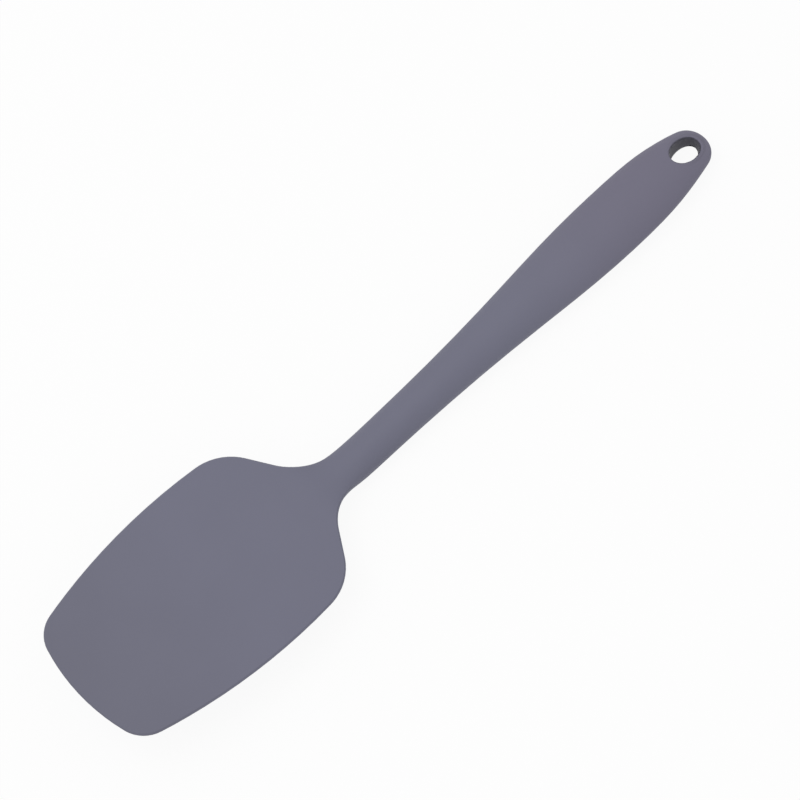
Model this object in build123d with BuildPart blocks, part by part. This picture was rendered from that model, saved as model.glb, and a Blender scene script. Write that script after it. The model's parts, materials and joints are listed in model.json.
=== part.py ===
from build123d import *
from math import cos, radians, sin, sqrt, tan
import os

# A one-piece silicone spatula: a soft silicone skin moulded over a stiff nylon core.
# It lies as on a worktop: X runs from the blade's tip to the hanging eye, the handle's
# underside touches Z = 0, and the origin is below the middle of the whole length.
# Distances along the spatula are measured from the blade's tip.

# Blade outline
overall_length = 280.0
blade_width = 65.0
widest_distance = 61.0
side_arc_radius = 202.0
tip_arc_radius = 70.0
tip_corner_radius = 11.3
shoulder_radius = 18.5
shoulder_angle = 58.0
root_distance = 101.8
root_fillet_radius = 18.0

# Handle outline
neck_distance = 120.0
neck_width = 13.2
belly_from_end = 44.0
handle_width = 23.6
end_radius = 7.9
end_turn = 75.0
neck_ease_share = 0.58
belly_ease_share = 0.3
end_ease_share = 0.34

# Side view
blade_tilt = 5.6
blade_face_height = 13.3
rim_thickness = 1.8
rib_start_distance = 40.0
rib_foot_half_width = 13.0
rib_crest_half_width = 5.0
face_end_distance = 98.0
root_end_distance = 114.0
neck_thickness = 11.5
belly_thickness = 13.0
end_thickness = 5.0
eye_underside_height = 3.0
end_fall_power = 2.5
parting_share = 0.46
middle_share = 0.5

# Roundness of the handle's section: the first pull is along the edge, the second is inwards
edge_lean_share = 0.9
edge_rise_share = 0.55
crest_share = 0.55
handle_edge_thickness = 1.4

# Trimming, the bevel round the rims and the hanging eye
trim_margin = 0.2
rim_bevel = 0.5
eye_from_end = 9.6
eye_length = 11.6
eye_width = 8.0
eye_rim_radius = 1.4

# Nylon core: a flat bar inside the handle, with a tongue in the blade's root
neck_cover = 3.0
belly_cover = 4.4
end_cover = 1.5
ring_cover = 1.2
tongue_distance = 70.0
tongue_width = 6.4
tongue_corner_radius = 2.6
tongue_thickness = 3.0
bar_thickness = 6.4
ring_thickness = 2.0
window_count = 5
window_gap = 9.0
window_width = 3.2

belly_distance = overall_length - belly_from_end
eye_distance = overall_length - eye_from_end
tip_x = -overall_length / 2
end_x = overall_length / 2

# How many steps each stretch is cut into for its cross-sections, closest where the blade
# turns into the neck, and the degrees of turn round the nose at which the last of them lie
blade_steps = 5
root_steps = 9
grip_steps = 11
core_steps = 14
end_turns = (0, 20, 38, 54, 68, 79)


def ease(distance, start, finish):
    share = min(max((distance - start) / (finish - start), 0), 1)
    return share * share * (3 - 2 * share)


def blend(first, second, share):
    return first + (second - first) * share


# Outline seen from above
tip_centre_x = tip_x + tip_arc_radius
widest_x = tip_x + widest_distance
root_x = tip_x + root_distance
neck_x = tip_x + neck_distance
belly_x = tip_x + belly_distance
end_centre_x = end_x - end_radius
tongue_x = tip_x + tongue_distance
shoulder_run = (blade_width - neck_width / 2) / tan(radians(shoulder_angle))
shoulder_margin = trim_margin / cos(radians(shoulder_angle))


def grip_face(neck_half, belly_half, radius):
    # A handle seen from above: parallel at the neck, swollen at the belly, round at the end
    turn = radians(end_turn)
    end_start = (end_centre_x + radius * cos(turn), radius * sin(turn))
    swell = belly_x - neck_x
    pull = end_ease_share * (end_x - belly_x)
    with BuildSketch() as grip:
        with BuildLine():
            neck_side = Line((root_x, neck_half), (neck_x, neck_half))
            grip_side = Bezier(
                (neck_x, neck_half),
                (neck_x + neck_ease_share * swell, neck_half),
                (belly_x - belly_ease_share * swell, belly_half),
                (belly_x, belly_half),
            )
            end_side = Bezier(
                (belly_x, belly_half),
                (belly_x + pull, belly_half),
                (end_start[0] - pull * sin(turn), end_start[1] + pull * cos(turn)),
                end_start,
            )
            mirror([neck_side, grip_side, end_side], about=Plane.XZ)
            ThreePointArc(end_start, (end_centre_x + radius, 0), (end_start[0], -end_start[1]))
            Line((root_x, neck_half), (root_x, -neck_half))
        make_face()
    return grip.sketch


with BuildSketch() as outline:
    with Locations((tip_centre_x, 0)):
        Circle(tip_arc_radius)
    for side in (1, -1):
        with Locations((widest_x, side * (blade_width / 2 - side_arc_radius))):
            Circle(side_arc_radius, mode=Mode.INTERSECT)
    with BuildLine():
        slope = Polyline(
            (tip_x - trim_margin, 0),
            (tip_x - trim_margin, blade_width),
            (root_x - shoulder_run, blade_width),
            (root_x, neck_width / 2),
            (root_x, 0),
        )
        mirror(slope, about=Plane.XZ)
    make_face(mode=Mode.INTERSECT)
    fillet(outline.vertices().group_by(Axis.X)[0], tip_corner_radius)
    fillet(outline.vertices().group_by(Axis.X)[-2], shoulder_radius)
    add(grip_face(neck_width / 2, handle_width / 2, end_radius))
    roots = outline.vertices().filter_by_position(Axis.X, root_x - trim_margin, root_x + trim_margin)
    fillet(roots, root_fillet_radius)

# The core seen from above: a tongue in the blade's root, then a bar inside the handle
bar_neck_half = neck_width / 2 - neck_cover
with BuildSketch() as core_outline:
    with BuildLine():
        tongue_side = Polyline(
            (tongue_x, 0),
            (tongue_x, tongue_width / 2),
            (root_x, bar_neck_half),
            (root_x, 0),
        )
        mirror(tongue_side, about=Plane.XZ)
    make_face()
    fillet(core_outline.vertices().group_by(Axis.X)[0], tongue_corner_radius)
    add(grip_face(bar_neck_half, handle_width / 2 - belly_cover, end_radius - end_cover))


def half_width(x):
    # Half of the width at x, with a margin outside the outline that the trimming takes off again
    if x > end_centre_x:
        return sqrt((end_radius + trim_margin) ** 2 - (x - end_centre_x) ** 2)
    across = Edge.make_line((x, 0), (x, blade_width))
    half = sum(piece.length for piece in across.intersect(outline.face()).edges())
    return half + (shoulder_margin if x < root_x else trim_margin)


# Side view lines, as heights over the worktop at a distance from the tip
def blade_top(distance):
    return blade_face_height + (root_distance - distance) * tan(radians(blade_tilt))


def grip_keel(distance):
    return eye_underside_height * ease(distance, belly_distance, overall_length)


def grip_thickness(distance):
    swelling = blend(neck_thickness, belly_thickness, ease(distance, neck_distance, belly_distance))
    fall = max(distance - belly_distance, 0) / (overall_length - belly_distance)
    return blend(swelling, end_thickness, fall ** end_fall_power)


def crown_line(distance):
    grip_top = grip_keel(distance) + grip_thickness(distance)
    return blend(blade_top(distance), grip_top, ease(distance, face_end_distance, root_end_distance))


def keel_line(distance):
    blade_under = blade_top(distance) - rim_thickness
    return blend(blade_under, grip_keel(distance), ease(distance, rib_start_distance, neck_distance))


def parting_line(distance):
    blade_middle = blade_top(distance) - rim_thickness / 2
    grip_middle = grip_keel(distance) + parting_share * grip_thickness(distance)
    return blend(blade_middle, grip_middle, ease(distance, face_end_distance, neck_distance))


def core_thickness(distance):
    bar = blend(tongue_thickness, bar_thickness, ease(distance, tongue_distance, neck_distance))
    return blend(bar, ring_thickness, ease(distance, belly_distance, eye_distance))


def core_line(distance, side):
    # The core's upper face (side 1) or lower face (side -1), about the middle of the section
    middle = blend(keel_line(distance), crown_line(distance), middle_share)
    return middle + side * core_thickness(distance) / 2


def section(x, half, crown, parting, keel, edge, foot, crest, rise):
    # One closed cross-section: a top curve, a short upright edge and an underside curve
    with BuildSketch(Plane.YZ.offset(x)) as slice_sketch:
        with BuildLine():
            top_start = parting + edge
            top = Bezier(
                (half, top_start),
                (half * edge_lean_share, blend(top_start, crown, edge_rise_share)),
                (half * crest_share, crown),
                (0, crown),
            )
            under_start = parting - edge
            under = Bezier(
                (half, under_start),
                (foot, blend(under_start, keel, rise)),
                (crest, keel),
                (0, keel),
            )
            side = Line(top @ 0, under @ 0)
            mirror([top, side, under], about=Plane.YZ)
        make_face()
    return slice_sketch.sketch


def closed_end(x, half, inner, outer):
    # Over the round end the height shrinks with the width, as on a rounded nose
    closing = min(half / half_width(end_centre_x), 1)
    return blend(inner, outer, closing if x > end_centre_x else 1)


def silicone_section(x):
    # Under the blade the keel is a rib with a wide foot and a narrow crest, which fades out
    # towards the tip and widens to the handle's whole underside behind the root
    distance = x - tip_x
    grip = ease(distance, face_end_distance, root_end_distance)
    half = half_width(max(x, widest_x))
    parting = parting_line(distance)
    edge = blend(rim_thickness, handle_edge_thickness, grip) / 2
    crown = closed_end(x, half, parting + edge, crown_line(distance))
    keel = closed_end(x, half, parting - edge, keel_line(distance))
    full_foot = half * edge_lean_share
    full_crest = half * crest_share
    foot = blend(min(rib_foot_half_width, full_foot), full_foot, grip)
    crest = blend(min(rib_crest_half_width, full_crest), full_crest, grip)
    return section(x, half, crown, parting, keel, edge, foot, crest, edge_rise_share * grip)


def spaced(start, finish, steps):
    return [blend(start, finish, step / steps) for step in range(steps)]


shoulder_x = root_x - shoulder_radius
blade_xs = spaced(tip_x - trim_margin, shoulder_x, blade_steps)
root_xs = spaced(shoulder_x, neck_x, root_steps)
grip_xs = spaced(neck_x, end_centre_x, grip_steps)
nose = [end_centre_x + (end_radius + trim_margin) * sin(radians(turn)) for turn in end_turns]
silicone_xs = blade_xs + root_xs + grip_xs + nose
eye_x = end_x - eye_from_end

with BuildSketch() as eye:
    with Locations((eye_x, 0)):
        Ellipse(eye_length / 2, eye_width / 2)

# The core's openings: a row of windows from the neck to the belly, and the ring's hole
window_pitch = (belly_x - neck_x) / window_count
with BuildSketch() as core_openings:
    with Locations(((neck_x + belly_x) / 2, 0)):
        with GridLocations(window_pitch, 0, window_count, 1):
            SlotOverall(window_pitch - window_gap, window_width)
    with Locations((eye_x, 0)):
        Ellipse(eye_length / 2 + ring_cover, eye_width / 2 + ring_cover)

# Stiff core: its side view is extruded across, then cut to its outline from above
core_start = tongue_distance - trim_margin
core_finish = overall_length
core_distances = spaced(core_start, core_finish, core_steps) + [core_finish]
with BuildPart() as nylon_core:
    with BuildSketch(Plane.XZ):
        with BuildLine():
            upper = Spline([(tip_x + d, core_line(d, 1)) for d in core_distances])
            lower = Spline([(tip_x + d, core_line(d, -1)) for d in core_distances])
            Line(upper @ 0, lower @ 0)
            Line(upper @ 1, lower @ 1)
        make_face()
    extrude(amount=handle_width, both=True)
    extrude(core_outline.sketch, amount=blade_width, both=True, mode=Mode.INTERSECT)
    extrude(core_openings.sketch, amount=blade_width, both=True, mode=Mode.SUBTRACT)

# Silicone skin: the whole outer form, with the core's exact hollow inside it
with BuildPart() as silicone_body:
    loft([silicone_section(x) for x in silicone_xs])
    extrude(outline.sketch, amount=blade_width, both=True, mode=Mode.INTERSECT)
    chamfer(silicone_body.edges().filter_by(Axis.Z, reverse=True), rim_bevel)
    extrude(eye.sketch, amount=blade_width, both=True, mode=Mode.SUBTRACT)
    eye_wall = silicone_body.faces().sort_by_distance((eye_x, 0, eye_underside_height))[0]
    eye_rims = eye_wall.edges().filter_by(Axis.Z, reverse=True)
    fillet(eye_rims, eye_rim_radius)
    add(nylon_core.part, mode=Mode.SUBTRACT)

os.makedirs("parts", exist_ok=True)
silicone_body.part.label = "silicone_body"
export_step(silicone_body.part, "parts/silicone_body.step")
nylon_core.part.label = "nylon_core"
export_step(nylon_core.part, "parts/nylon_core.step")
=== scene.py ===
import json
import math

import bpy
from mathutils import Matrix, Vector
from mathutils.bvhtree import BVHTree
from mathutils.interpolate import poly_3d_calc


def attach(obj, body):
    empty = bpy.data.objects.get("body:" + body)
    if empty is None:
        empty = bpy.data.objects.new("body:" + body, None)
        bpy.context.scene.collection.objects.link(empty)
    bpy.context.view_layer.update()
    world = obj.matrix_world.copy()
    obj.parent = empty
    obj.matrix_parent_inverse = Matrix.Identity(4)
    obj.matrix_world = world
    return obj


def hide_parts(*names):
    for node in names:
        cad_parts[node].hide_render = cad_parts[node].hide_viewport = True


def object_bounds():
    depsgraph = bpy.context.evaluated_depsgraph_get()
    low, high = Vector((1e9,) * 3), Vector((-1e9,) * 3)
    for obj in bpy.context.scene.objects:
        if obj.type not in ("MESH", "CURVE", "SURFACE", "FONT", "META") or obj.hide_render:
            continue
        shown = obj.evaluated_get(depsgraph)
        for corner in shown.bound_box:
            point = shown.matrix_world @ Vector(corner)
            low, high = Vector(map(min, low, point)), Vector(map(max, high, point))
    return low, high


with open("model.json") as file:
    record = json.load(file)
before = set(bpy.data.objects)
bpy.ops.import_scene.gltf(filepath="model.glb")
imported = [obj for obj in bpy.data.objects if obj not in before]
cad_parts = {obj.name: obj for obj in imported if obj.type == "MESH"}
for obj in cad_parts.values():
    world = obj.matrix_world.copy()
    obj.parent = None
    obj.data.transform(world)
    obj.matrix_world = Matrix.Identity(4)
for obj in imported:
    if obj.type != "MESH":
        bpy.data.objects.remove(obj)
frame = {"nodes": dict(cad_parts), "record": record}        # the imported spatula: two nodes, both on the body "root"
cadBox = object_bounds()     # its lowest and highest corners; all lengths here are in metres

scene = bpy.context.scene
silicone = frame["nodes"]["silicone_body"]
core = frame["nodes"]["nylon_core"]
print("frame loaded:", sorted(frame["nodes"]))

mounts = {mount["name"]: mount for mount in frame["record"]["mounts"]}
eyeMount = mounts["hanging_eye"]                # its sizes are in millimetres
eye = {
    "centre": Vector(eyeMount["pos_m"][:2]),
    "halfLength": eyeMount["dims"]["slot_length_mm"] / 2 / 1000,
    "halfWidth": eyeMount["dims"]["hole_r_mm"] / 1000,
}


class Socket:
    # one output of a node, wrapped so that shader maths is written as plain expressions
    def __init__(self, shader, link):
        self.shader = shader
        self.link = link

    def __add__(self, other):
        return self.shader.maths("ADD", self, other)

    def __sub__(self, other):
        return self.shader.maths("SUBTRACT", self, other)

    def __rsub__(self, other):
        return self.shader.maths("SUBTRACT", other, self)

    def __mul__(self, other):
        return self.shader.maths("MULTIPLY", self, other)

    def __abs__(self):
        return self.shader.maths("ABSOLUTE", self)

    __radd__ = __add__
    __rmul__ = __mul__


class Shader:
    # a material, or the world, with an empty node tree and one method that makes its nodes
    def __init__(self, name, library=bpy.data.materials):
        self.holder = library.new(name)
        self.holder.use_nodes = True
        self.tree = self.holder.node_tree
        self.tree.nodes.clear()

    def node(self, kind, settings=None, inputs=None, output=0):
        made = self.tree.nodes.new(kind)
        for key, value in (settings or {}).items():
            setattr(made, key, value)
        for key, value in (inputs or {}).items():
            if isinstance(value, Socket):
                self.tree.links.new(value.link, made.inputs[key])
            else:
                made.inputs[key].default_value = value
        return Socket(self, made.outputs[output]) if made.outputs else None

    def maths(self, operation, *values):
        return self.node("ShaderNodeMath", {"operation": operation}, dict(enumerate(values)))

    def vector(self, operation, *values, output="Vector"):
        inputs = dict(enumerate(values))
        return self.node("ShaderNodeVectorMath", {"operation": operation}, inputs, output)

    def part(self, vector, axis):
        return self.node("ShaderNodeSeparateXYZ", {}, {"Vector": vector}, output=axis)

    def seen(self):
        # 1 where a ray comes from the camera, or by way of a mirror or glass, and otherwise 0
        kinds = ("Is Camera Ray", "Is Glossy Ray", "Is Transmission Ray")
        camera, glossy, through = [self.node("ShaderNodeLightPath", output=kind) for kind in kinds]
        return self.maths("MINIMUM", camera + glossy + through, 1.0)

    def place(self):
        return self.node("ShaderNodeTexCoord", output="Object")

    def noise(self, where, size, detail):
        # size is the width of one blotch in metres
        return self.node("ShaderNodeTexNoise", {}, {
            "Vector": where, "Scale": 1 / size, "Detail": detail})

    def mix(self, share, first, second):
        # a colour mix: its sockets go by number, because three kinds share each name
        inputs = {0: share, 6: first, 7: second}
        return self.node("ShaderNodeMix", {"data_type": "RGBA"}, inputs, output=2)

    def between(self, value, low, high):
        return self.node("ShaderNodeMapRange", {"interpolation_type": "SMOOTHSTEP"}, {
            "Value": value, "From Min": low, "From Max": high})

    def bump(self, height, distance):
        return self.node("ShaderNodeBump", {}, {"Height": height, "Distance": distance})

    def show(self, surface, output="ShaderNodeOutputMaterial"):
        self.node(output, {}, {"Surface": surface})
        return self.holder


# the silicone skin is a copy of the solid's mesh; at the hanging eye it has sharper rims and a
# slight draft, as in the photograph
skinSetup = {
    # painted shade: the colour at the blade's tip is darker than the rest
    "tipShadeColour": (0.149, 0.149, 0.197, 1),
    "colour": (0.163, 0.164, 0.222, 1),
    "endColour": (0.1695, 0.161, 0.219, 1),     # the grip's end is a touch warmer than the blade
    "tipShadeFade": (-0.005, 0.07),                  # where the painted shade at the tip fades out, counted from the blade's tip
    "endFade": (-0.1, -0.02),                   # counted from the grip's end
    "paleTint": (1.025, 1.025, 1.025),
    "paleFrom": (0.5, 0.9),                     # the cloud's values over which the tint sets in
    "cloudSize": 0.022,
    "cloudDetail": 3.0,
    "grainSize": 0.0006,
    "grainDetail": 2.0,
    "grainShare": 0.4,                          # how much of the grain is added to the cloud
    "grainDepth": 0.00002,
    "roughness": 0.57,
    "grainRoughness": 0.1,
    "specular": 0.35,
    "eyeShadeColour": (0.1, 0.098, 0.126, 1),       # painted shade on the moulded wall inside the eye
    "eyeShadeReach": (1.35, 1.5),                   # in eye radii: the painted shade ends past the rounded rim
    "eyeShadeTilt": (0.6, 0.95),                    # how far a face may turn upwards and still be wall that takes the painted shade
    "solidRim": 0.0014,                         # the solid's rounding, the same on both sides
    "rims": {1: 0.0009, -1: 0.0002},            # the skin's on the upper side, 1, and the lower, -1
    "footDraft": -0.0003,                       # how far the wall moves outwards at its foot
    "topDraft": 0.00025,                        # and at its top
    "draftFade": 0.0016,                        # how far the draft reaches into the material
    "reach": 0.0085,                            # no point farther from the eye's centre moves
    "gap": 0.0001,                              # clear of the solid's rounding
    "step": 0.0006,                             # between the two rays that find a face's slope
    "rayStart": 0.1,                            # well above the solid, or below it
}


def makeSilicone(setup):
    shader = Shader("silicone")
    where = shader.place()
    cloud = shader.noise(where, setup["cloudSize"], setup["cloudDetail"])
    grain = shader.noise(where, setup["grainSize"], setup["grainDetail"])
    pale = shader.between(cloud + grain * setup["grainShare"], *setup["paleFrom"])
    along = shader.part(where, "X")
    # painted shade: the colour darkens towards the blade's tip
    fromTip = shader.between(along, *[cadBox[0][0] + distance for distance in setup["tipShadeFade"]])
    toEnd = shader.between(along, *[cadBox[1][0] + distance for distance in setup["endFade"]])
    colour = shader.mix(fromTip, setup["tipShadeColour"], setup["colour"])
    colour = shader.mix(toEnd, colour, setup["endColour"])
    colour = shader.mix(pale, colour, shader.vector("MULTIPLY", colour, setup["paleTint"]))
    # painted shade inside the eye: a darker colour comes in where a face is near the eye and doesn't turn up or down
    fromEye = shader.vector("SUBTRACT", where, (*eye["centre"], 0))
    fromEye = shader.vector("MULTIPLY", fromEye, (1 / eye["halfLength"], 1 / eye["halfWidth"], 0))
    radii = shader.vector("LENGTH", fromEye, output="Value")
    upwards = shader.part(shader.node("ShaderNodeTexCoord", output="Normal"), "Z")
    inEye = 1 - shader.between(radii, *setup["eyeShadeReach"])
    sideways = 1 - shader.between(abs(upwards), *setup["eyeShadeTilt"])
    colour = shader.mix(inEye * sideways, colour, setup["eyeShadeColour"])
    surface = shader.node("ShaderNodeBsdfPrincipled", {}, {
        "Base Color": colour,
        "Roughness": setup["roughness"] + grain * setup["grainRoughness"],
        "Specular IOR Level": setup["specular"],
        "Normal": shader.bump(grain, setup["grainDepth"]),
    })
    return shader.show(surface)


def nearestOnWall(flat, rounds=6):
    # the point of the eye's oval nearest to a place, and the direction straight outwards there
    halfLength, halfWidth = eye["halfLength"], eye["halfWidth"]
    fromCentre = flat - eye["centre"]
    turnX = turnY = math.sqrt(0.5)              # each round turns closer to the place
    excess = halfLength ** 2 - halfWidth ** 2
    for attempt in range(rounds):
        bendX = excess * turnX ** 3 / halfLength
        bendY = -excess * turnY ** 3 / halfWidth
        wanted = Vector((abs(fromCentre.x) - bendX, abs(fromCentre.y) - bendY))
        radius = Vector((halfLength * turnX - bendX, halfWidth * turnY - bendY)).length
        ratio = radius / wanted.length
        turnX = min(max((wanted.x * ratio + bendX) / halfLength, 0), 1)
        turnY = min(max((wanted.y * ratio + bendY) / halfWidth, 0), 1)
        size = math.hypot(turnX, turnY)
        turnX, turnY = turnX / size, turnY / size
    onOval = Vector((
        math.copysign(halfLength * turnX, fromCentre.x),
        math.copysign(halfWidth * turnY, fromCentre.y),
    ))
    outwards = Vector((onOval.x / halfLength ** 2, onOval.y / halfWidth ** 2)).normalized()
    return eye["centre"] + onOval, outwards


def tangentLength(radius, turn):
    # how far a rounding reaches from the corner between the wall and a face that is turned up
    return radius / math.tan(math.pi / 4 + turn / 2)


def hitFrom(setup, tree, flat, side):
    # where a ray from above or below meets the solid, and the number of the face that it meets
    start = Vector((*flat, side * setup["rayStart"]))
    hit = tree.ray_cast(start, Vector((0, 0, -side)))
    return hit[0], hit[2]


def faceBeside(setup, mesh, tree, wall, outwards, side, rounds=3):
    # the face beside a rim as a straight line out of the wall: height, slope and smooth normal
    slope = 0.0
    for attempt in range(rounds):
        turn = math.atan(slope)
        near = tangentLength(setup["solidRim"], turn) * math.cos(turn) + setup["gap"]
        spot, index = hitFrom(setup, tree, wall + outwards * near, side)
        beyond = hitFrom(setup, tree, wall + outwards * (near + setup["step"]), side)[0]
        if spot is None or beyond is None:
            return None
        slope = side * (beyond.z - spot.z) / setup["step"]
    polygon = mesh.polygons[index]
    corners = [mesh.vertices[corner].co for corner in polygon.vertices]
    normal = Vector()
    for loop, weight in zip(polygon.loop_indices, poly_3d_calc(corners, spot)):
        normal += mesh.corner_normals[loop].vector * weight
    return side * spot.z - slope * near, slope, normal.normalized()


def sharperRim(setup, side, place, wall, outwards, height, slope, faceNormal):
    # where a point of the rounded rim lies on the sharper one, and its new normal; points of the
    # hidden hollow that lie close under the rim aren't told apart from it, and move along too
    turn = math.atan(slope)
    solidReach = tangentLength(setup["solidRim"], turn)
    skinReach = tangentLength(setup["rims"][side], turn)
    offset = max((place.xy - wall).dot(outwards), 0)
    depth = height + slope * offset - side * place.z
    if offset > solidReach * math.cos(turn) + setup["gap"] or depth > solidReach + setup["gap"]:
        return None
    spread = offset + max(depth, 0) * math.cos(turn)
    along = (2 * offset / spread - 1) * solidReach if spread else -solidReach
    down = Vector((0, 0, -side))
    out = Vector((*(outwards * math.cos(turn)), side * math.sin(turn)))
    corner = Vector((*wall, side * height))
    rise = min(max((along / skinReach + 1) / 2, 0), 1)  # 0 on the wall, 1 on the face beside it
    if rise in (0, 1):
        moved = corner + (out * along if rise else down * -along)
    else:
        moved = corner + down * skinReach * (1 - rise) ** 2 + out * skinReach * rise ** 2
    normal = Vector((*-outwards, 0)) * (1 - rise) + faceNormal * rise
    return moved, normal.normalized()


def reshaped(setup, mesh, tree, place):
    # where a point near the eye goes, and its new normal where it is on a rim
    wall, outwards = nearestOnWall(place.xy)
    upper, lower = [faceBeside(setup, mesh, tree, wall, outwards, side) for side in (1, -1)]
    moved, normal = place, None
    if not (upper and lower):
        return moved, normal
    for side, face in ((1, upper), (-1, lower)):
        rim = sharperRim(setup, side, place, wall, outwards, *face)
        if rim:
            moved, normal = rim
    top, bottom = upper[0], -lower[0]                   # where the wall would meet the faces
    share = min(max((moved.z - bottom) / (top - bottom), 0), 1)
    offset = (moved.xy - wall).dot(outwards)
    fade = max(1 - abs(offset) / setup["draftFade"], 0)
    shift = (setup["footDraft"] * (1 - share) + setup["topDraft"] * share) * fade
    return moved + Vector((*(outwards * shift), 0)), normal


def makeSkin(setup):
    mesh = silicone.data.copy()                 # a node's place is in its mesh
    mesh.name = "silicone_skin"
    skin = bpy.data.objects.new("silicone_skin", mesh)
    scene.collection.objects.link(skin)
    places = [vertex.co.copy() for vertex in mesh.vertices]
    tree = BVHTree.FromPolygons(places, [tuple(polygon.vertices) for polygon in mesh.polygons])
    newPlaces, rimNormals = {}, {}
    for index, place in enumerate(places):
        if (place.xy - eye["centre"]).length <= setup["reach"]:
            newPlaces[index], rimNormals[index] = reshaped(setup, mesh, tree, place)
    normals = [
        rimNormals.get(loop.vertex_index) or corner.vector.copy()
        for loop, corner in zip(mesh.loops, mesh.corner_normals)
    ]
    for index, place in newPlaces.items():
        mesh.vertices[index].co = place
    mesh.normals_split_custom_set(normals)
    mesh.materials.clear()
    mesh.materials.append(makeSilicone(setup))
    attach(skin, "root")
    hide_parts("silicone_body")
    print("skin made, points near the eye:", len(newPlaces))


makeSkin(skinSetup)

coreSetup = {
    "colour": (0.03, 0.03, 0.033, 1),
    "fibreColour": (0.05, 0.05, 0.052, 1),
    "fibreSize": 0.0015,
    "fibreDetail": 5.0,
    "fibreFrom": (0.55, 0.7),                   # the noise's values over which the fibres come out
    "fibreDepth": 0.00003,
    "roughness": 0.5,
    "fibreRoughness": 0.2,
}


def dressCore(setup):
    shader = Shader("glass_filled_nylon")
    fibre = shader.noise(shader.place(), setup["fibreSize"], setup["fibreDetail"])
    shown = shader.between(fibre, *setup["fibreFrom"])
    surface = shader.node("ShaderNodeBsdfPrincipled", {}, {
        "Base Color": shader.mix(shown, setup["colour"], setup["fibreColour"]),
        "Roughness": setup["roughness"] + fibre * setup["fibreRoughness"],
        "Normal": shader.bump(fibre, setup["fibreDepth"]),
    })
    core.data.materials.clear()
    core.data.materials.append(shader.show(surface))
    print("core dressed")


dressCore(coreSetup)

floorSetup = {
    "side": 3.0,
    "colour": (0.9, 0.9, 0.9, 1),
    "roughness": 0.9,
    "specular": 0.1,
    "whiteShare": 0.92,                         # how much of what the camera sees is white paper
}


def makeFloor(setup):
    half = setup["side"] / 2
    corners = [(-half, -half, 0), (half, -half, 0), (half, half, 0), (-half, half, 0)]
    mesh = bpy.data.meshes.new("floor")
    mesh.from_pydata(corners, [], [(0, 1, 2, 3)])
    floor = bpy.data.objects.new("floor", mesh)
    floor.location.z = cadBox[0][2]
    scene.collection.objects.link(floor)
    shader = Shader("pale_floor")
    paper = shader.node("ShaderNodeBsdfPrincipled", {}, {
        "Base Color": setup["colour"],
        "Roughness": setup["roughness"],
        "Specular IOR Level": setup["specular"],
    })
    white = shader.node("ShaderNodeEmission", {}, {"Color": (1, 1, 1, 1), "Strength": 1.0})
    share = shader.seen() * setup["whiteShare"]
    surface = shader.node("ShaderNodeMixShader", {}, {0: share, 1: paper, 2: white})
    mesh.materials.append(shader.show(surface))
    print("floor laid")


makeFloor(floorSetup)

# the photograph's viewpoint: nearly overhead, leaning towards the blade and one side
cameraSetup = {
    "target": (0.00193, 0.00410, 0.008),        # the place at the picture's middle
    "leanX": -0.2049,                           # parts of the direction towards the camera
    "leanY": -0.2701,
    "roll": 0.8035,                             # radians from +X to what is up in the picture
    "distance": 0.99283,
    "focalPixels": 3041.77,
    "framePixels": 800,                         # the photograph's side
    "sensor": 36.0,                             # millimetres
}


def makeCamera(setup):
    # returns the picture's own directions: right, up and towards the camera
    towards = Vector((setup["leanX"], setup["leanY"], 0))
    towards.z = math.sqrt(1 - towards.length_squared)
    upwards = Vector((math.cos(setup["roll"]), math.sin(setup["roll"]), 0))
    right = (-towards).cross(upwards).normalized()
    up = right.cross(-towards)
    data = bpy.data.cameras.new("camera")
    data.sensor_width = setup["sensor"]
    data.lens = setup["focalPixels"] / setup["framePixels"] * setup["sensor"]
    camera = bpy.data.objects.new("camera", data)
    turned = Matrix((right, up, towards)).transposed().to_4x4()
    place = Vector(setup["target"]) + towards * setup["distance"]
    camera.matrix_world = Matrix.Translation(place) @ turned
    scene.collection.objects.link(camera)
    scene.camera = camera
    print("camera placed")
    return right, up, towards


pictureAxes = makeCamera(cameraSetup)

lampSetup = {
    "worldStrength": 0.685,
    "keyPower": 4.4,
    "keySize": 0.9,
    "keyDistance": 1.3,
    "keyUp": 0.35,                              # for each metre towards the camera
    "keyRight": -0.45,
}


def makeLights(setup, right, up, towards):
    studio = Shader("studio", bpy.data.worlds)
    lit, backdrop = [
        studio.node("ShaderNodeBackground", {}, {"Color": (1, 1, 1, 1), "Strength": strength})
        for strength in (setup["worldStrength"], 1.0)
    ]
    both = studio.node("ShaderNodeMixShader", {}, {0: studio.seen(), 1: lit, 2: backdrop})
    scene.world = studio.show(both, "ShaderNodeOutputWorld")
    data = bpy.data.lights.new("key", "AREA")
    data.shape = "DISK"
    data.size = setup["keySize"]
    data.energy = setup["keyPower"]
    lamp = bpy.data.objects.new("key", data)
    aim = (towards + up * setup["keyUp"] + right * setup["keyRight"]).normalized()
    lamp.location = aim * setup["keyDistance"]
    lamp.rotation_euler = aim.to_track_quat("Z", "Y").to_euler()
    scene.collection.objects.link(lamp)
    print("lights set")


makeLights(lampSetup, *pictureAxes)
scene.view_settings.view_transform = "Standard"
